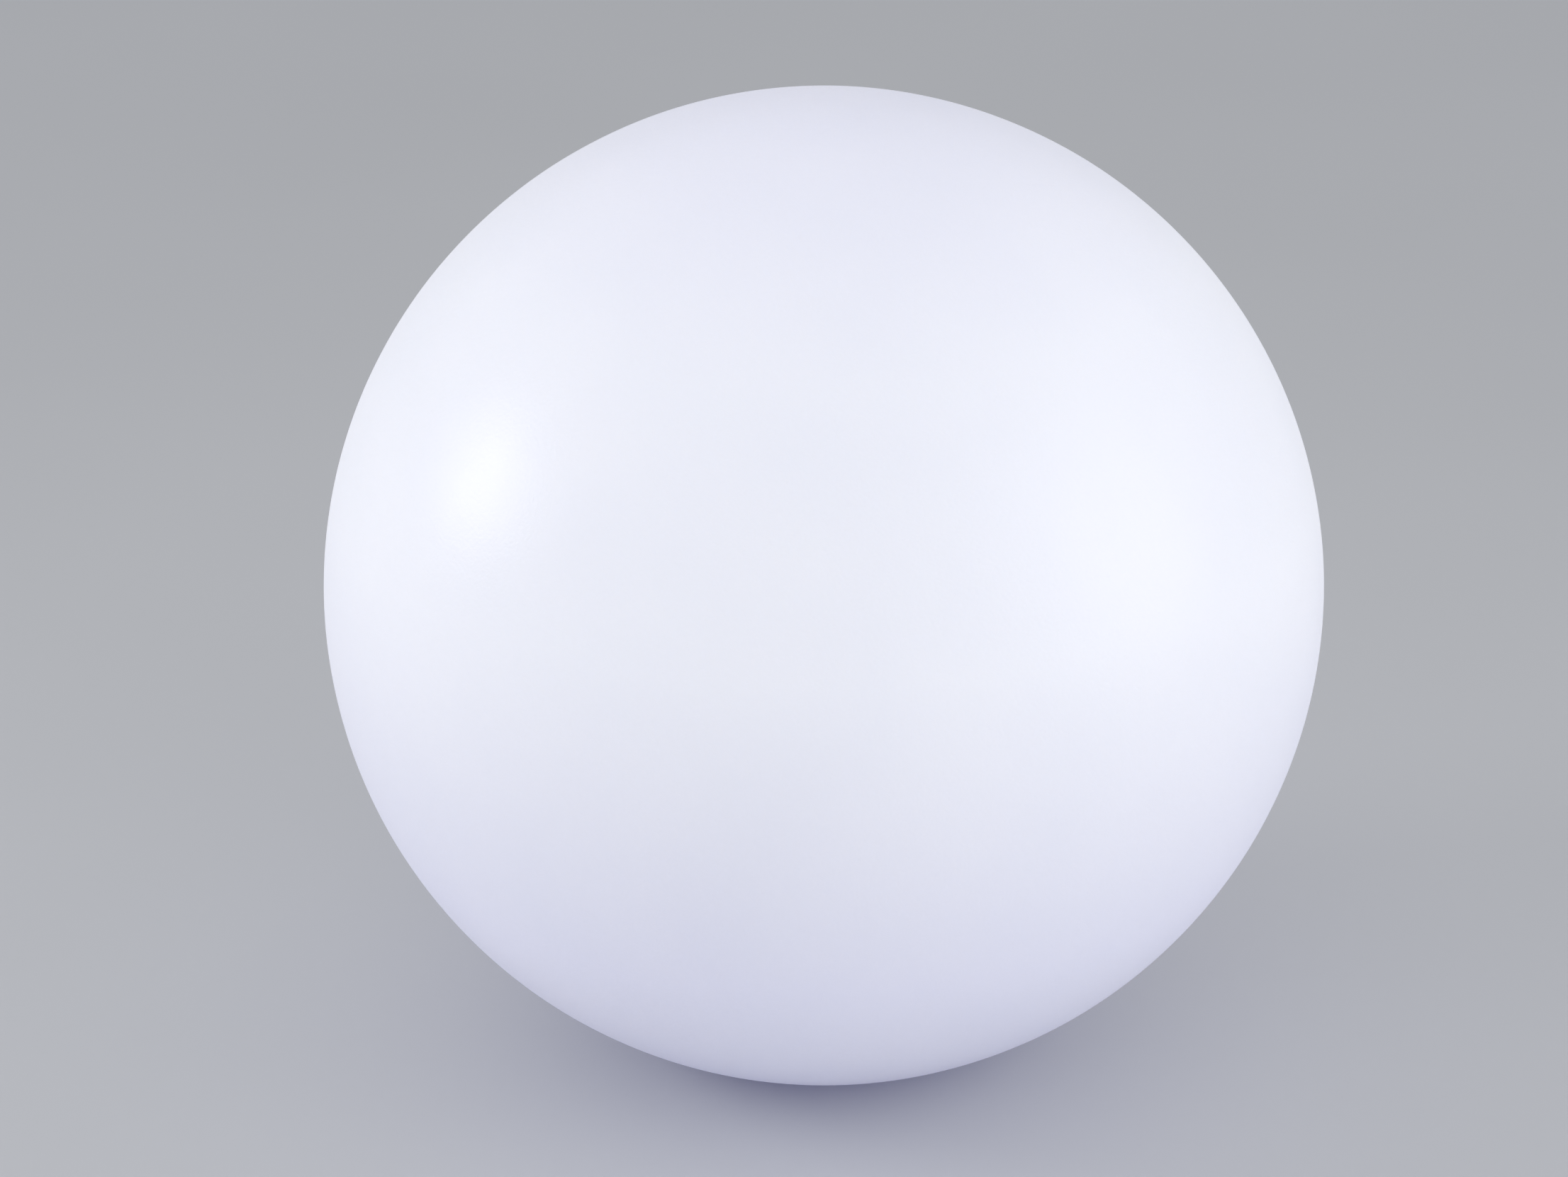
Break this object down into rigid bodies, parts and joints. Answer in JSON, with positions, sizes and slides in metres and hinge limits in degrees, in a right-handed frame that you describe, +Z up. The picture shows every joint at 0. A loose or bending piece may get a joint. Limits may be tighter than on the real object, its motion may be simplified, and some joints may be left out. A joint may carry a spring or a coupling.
{
  "type": "floating pool light",
  "caption": "Glowing moulded ball on a small flat foot, with a sealed rechargeable lamp unit, a push button, a hinged charging-port lid and a mooring ring under it.",
  "frame": {"origin": "centre of the flat foot ring that the ball stands on", "axes": "+Z up along the ball's axis; +Y from the mooring ring's bow towards the button and the charging port"},
  "size_m": [0.3998, 0.3998, 0.3936],
  "materials": {
    "globe_pe": "satin, moulded, glowing",
    "white_abs": "satin",
    "grey_abs": "satin",
    "black_plastic": "satin",
    "silicone": "matt",
    "black_rubber": "matt",
    "foam": "matt",
    "stainless": "brushed",
    "spring_steel": "bright",
    "nickel": "bright",
    "brass": "machined",
    "frosted_pc": "frosted",
    "clear_pc": "clear",
    "board_green": "solder mask",
    "board_white": "white solder mask",
    "led_white": "moulded",
    "cell_wrap": "shrink film",
    "capacitor_sleeve": "film",
    "red_insulation": "satin",
    "black_insulation": "satin",
    "white_insulation": "satin"
  },
  "bodies": {
    "lamp_body": {"globe": "globe_pe", "thread_inserts": "brass", "base_cover": "white_abs", "cover_gasket": "silicone", "flange_screws": "stainless", "flange_screw_seals": "black_rubber", "button_spring": "spring_steel", "button_seal": "black_rubber", "power_switch": "black_plastic", "port_hinge_pin": "stainless", "charge_socket": "black_plastic", "charge_contact": "brass", "indicator_lens": "clear_pc", "indicator_led": "led_white", "mooring_bracket": "stainless", "bracket_gasket": "black_rubber", "bracket_screws": "stainless", "lamp_housing": "white_abs", "housing_seal": "black_rubber", "housing_screws": "stainless", "housing_screw_seals": "black_rubber", "diffuser_dome": "frosted_pc", "dome_seal": "silicone", "dome_retainer": "white_abs", "led_board": "board_white", "led_packages": "led_white", "led_board_screws": "stainless", "wire_grommet": "black_rubber", "led_leads": "white_insulation", "control_board": "board_green", "control_board_screws": "stainless", "controller_chips": "black_plastic", "capacitors": "capacitor_sleeve", "remote_receiver": "nickel", "wire_connectors": "white_abs", "battery_cells": "cell_wrap", "cell_holder_lower": "black_plastic", "cell_holder_upper": "black_plastic", "holder_screws": "stainless", "nickel_straps": "nickel", "battery_pad": "foam", "battery_lead_red": "red_insulation", "battery_lead_black": "black_insulation"},
    "power_button": {"power_button": "grey_abs", "button_clip": "spring_steel", "switch_plunger": "black_plastic"},
    "port_lid": {"port_lid": "grey_abs", "port_lid_seal": "silicone"},
    "mooring_ring": {"mooring_ring": "stainless"}
  },
  "joints": [
    {"name": "power_button_press", "type": "slide", "parent": "lamp_body", "child": "power_button", "axis": [0, 0, 1], "range_m": [0, 0.0008], "stiffness_N_per_m": 1500, "springref_m": -0.0006, "deforming": ["button_spring"]},
    {"name": "port_lid_swing", "type": "hinge", "parent": "lamp_body", "child": "port_lid", "pos_m": [0.016, 0.0276, 0.0094], "axis": [1, 0, 0], "range_deg": [0, 110]},
    {"name": "mooring_ring_swing", "type": "hinge", "parent": "lamp_body", "child": "mooring_ring", "pos_m": [0, 0.002, 0.00765], "axis": [1, 0, 0], "range_deg": [-11, 110]}
  ]
}
